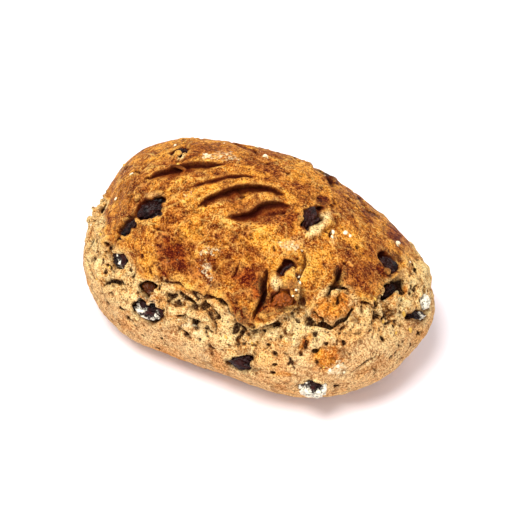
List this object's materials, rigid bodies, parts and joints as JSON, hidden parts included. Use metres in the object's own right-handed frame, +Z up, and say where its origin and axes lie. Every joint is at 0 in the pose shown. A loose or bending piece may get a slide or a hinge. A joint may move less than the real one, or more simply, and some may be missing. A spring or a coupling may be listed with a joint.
{
  "type": "raisin bread loaf",
  "caption": "Hand-shaped oval raisin loaf with a toasted, slashed crust cap, a pale torn band beneath it, raisins sunk in its surface and a flat base to rest on.",
  "frame": {"origin": "middle of the flat base on which the loaf rests", "axes": "+Z up out of the base, +X along the loaf towards its lower, blunter end"},
  "size_m": [0.2076, 0.1422, 0.0985],
  "materials": {
    "bread_crust": null,
    "dark_raisin": null,
    "golden_raisin": null,
    "flour": null,
    "grain": null
  },
  "bodies": {
    "root": {"loaf": "bread_crust", "raisin_crown": "dark_raisin", "raisin_left_shoulder": "dark_raisin", "raisin_left_groove": "dark_raisin", "raisin_right_shoulder": "dark_raisin", "raisin_left_band": "dark_raisin", "raisin_left_under": "golden_raisin", "raisin_left_low": "dark_raisin", "raisin_front_low": "dark_raisin", "raisin_base_edge": "dark_raisin", "raisin_burst_upper": "dark_raisin", "raisin_burst_lower": "golden_raisin", "raisin_right_blister": "dark_raisin", "raisin_right_hollow": "dark_raisin", "raisin_right_end": "dark_raisin", "raisin_right_floured": "dark_raisin", "raisin_back_high": "dark_raisin", "raisin_back_left": "dark_raisin", "raisin_back_low": "dark_raisin", "raisin_back_right": "dark_raisin", "raisin_left_end": "dark_raisin"}
  },
  "joints": []
}
